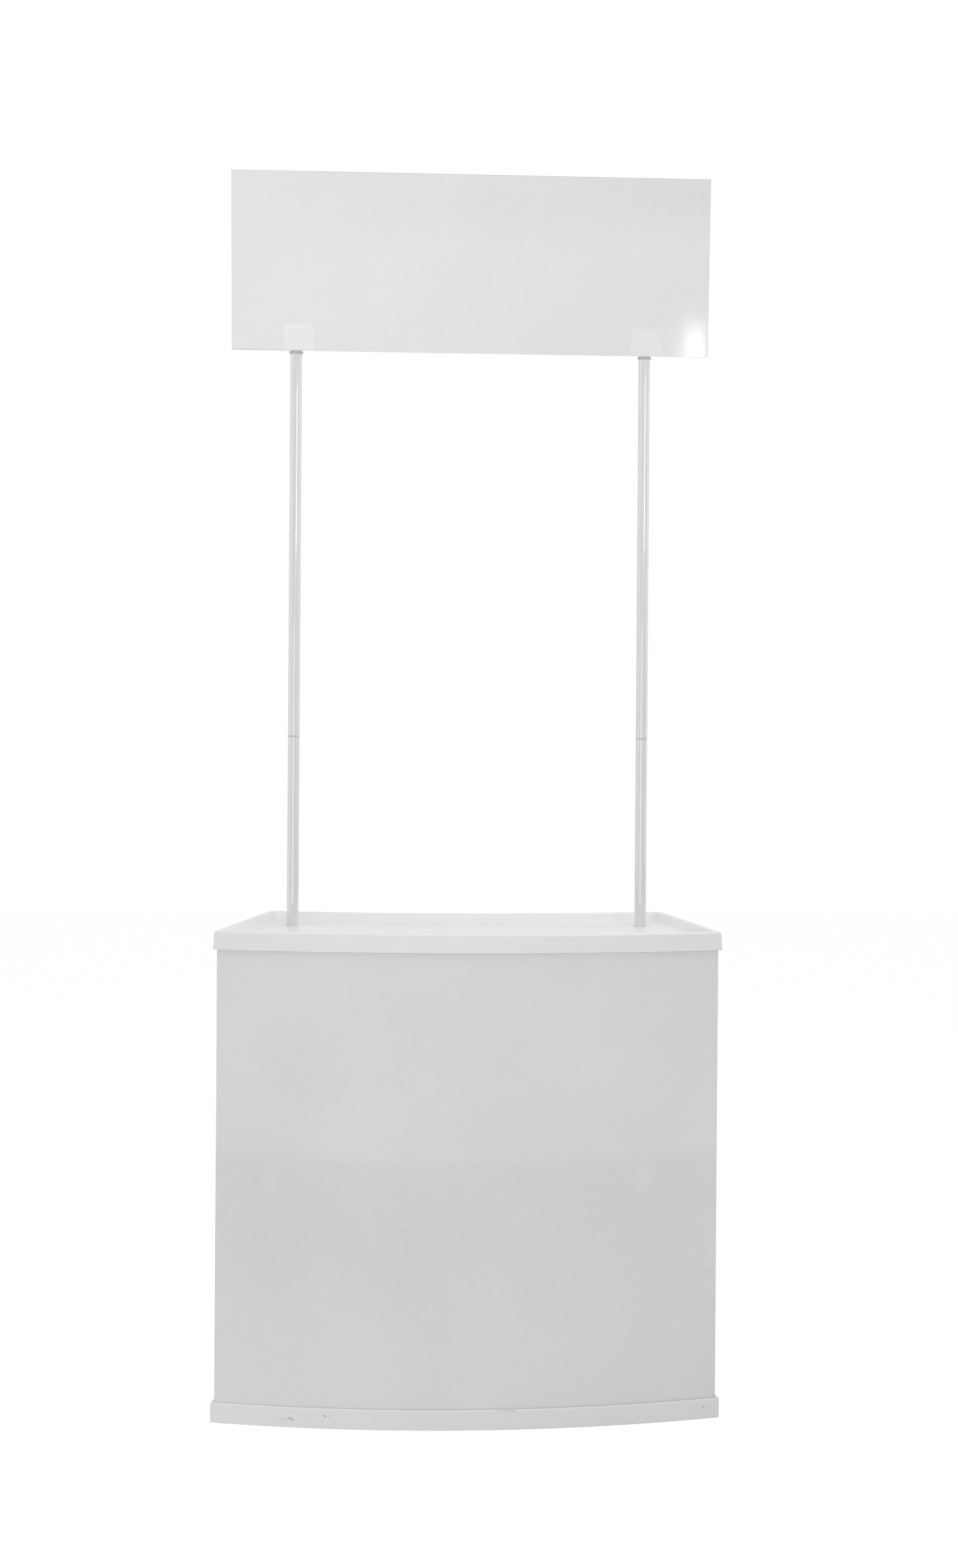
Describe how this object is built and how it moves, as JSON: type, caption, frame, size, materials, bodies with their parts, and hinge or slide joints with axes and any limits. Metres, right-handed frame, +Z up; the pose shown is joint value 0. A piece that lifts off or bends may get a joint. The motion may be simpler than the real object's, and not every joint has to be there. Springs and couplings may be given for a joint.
{
  "type": "exhibition counter",
  "caption": "Demountable exhibition counter: fan-shaped tray top and base, translucent wrap panel, inner shelf, slim poles and a flat header board.",
  "frame": {"origin": "on the floor, under the middle of the counter's bounding box", "axes": "+Z up, +X to the right of a viewer who faces the counter, -Y towards that viewer"},
  "size_m": [0.815, 0.42, 2.0461],
  "materials": {
    "moulded_plastic": "satin white moulding",
    "sheet_plastic": "translucent white sheet",
    "socket_plastic": "plain white moulding",
    "enamelled_tube": "gloss white enamel",
    "header_board": "gloss white board",
    "foam_tape": "white foam tape"
  },
  "bodies": {
    "base": {"base_tray": "moulded_plastic", "wrap_panel": "sheet_plastic", "mid_shelf": "moulded_plastic", "base_socket_front_left": "socket_plastic", "base_socket_front_right": "socket_plastic", "base_socket_rear_left": "socket_plastic", "base_socket_rear_right": "socket_plastic", "lower_leg_front_left": "enamelled_tube", "lower_leg_front_right": "enamelled_tube", "lower_leg_rear_left": "enamelled_tube", "lower_leg_rear_right": "enamelled_tube", "shelf_coupler_front_left": "socket_plastic", "shelf_coupler_front_right": "socket_plastic", "shelf_coupler_rear_left": "socket_plastic", "shelf_coupler_rear_right": "socket_plastic", "upper_leg_front_left": "enamelled_tube", "upper_leg_front_right": "enamelled_tube"},
    "tabletop": {"tabletop_tray": "moulded_plastic", "tabletop_socket_left": "socket_plastic", "tabletop_socket_right": "socket_plastic", "pole_guide_left": "socket_plastic", "pole_guide_right": "socket_plastic"},
    "lower_poles": {"lower_pole_left": "enamelled_tube", "lower_pole_right": "enamelled_tube", "pole_joiner_left": "socket_plastic", "pole_joiner_right": "socket_plastic"},
    "upper_poles": {"upper_pole_left": "enamelled_tube", "upper_pole_right": "enamelled_tube"},
    "header": {"header_panel": "header_board", "header_clip_left": "socket_plastic", "header_clip_right": "socket_plastic", "header_tape_left": "foam_tape", "header_tape_right": "foam_tape"}
  },
  "joints": [
    {"name": "tabletop_lift", "type": "slide", "parent": "base", "child": "tabletop", "axis": [0, 0, 1], "range_m": [0, 0.04]},
    {"name": "lower_pole_lift", "type": "slide", "parent": "base", "child": "lower_poles", "axis": [0, 0, 1], "range_m": [0, 0.03]},
    {"name": "upper_pole_lift", "type": "slide", "parent": "lower_poles", "child": "upper_poles", "axis": [0, 0, 1], "range_m": [0, 0.055]},
    {"name": "header_lift", "type": "slide", "parent": "upper_poles", "child": "header", "axis": [0, 0, 1], "range_m": [0, 0.045]}
  ]
}
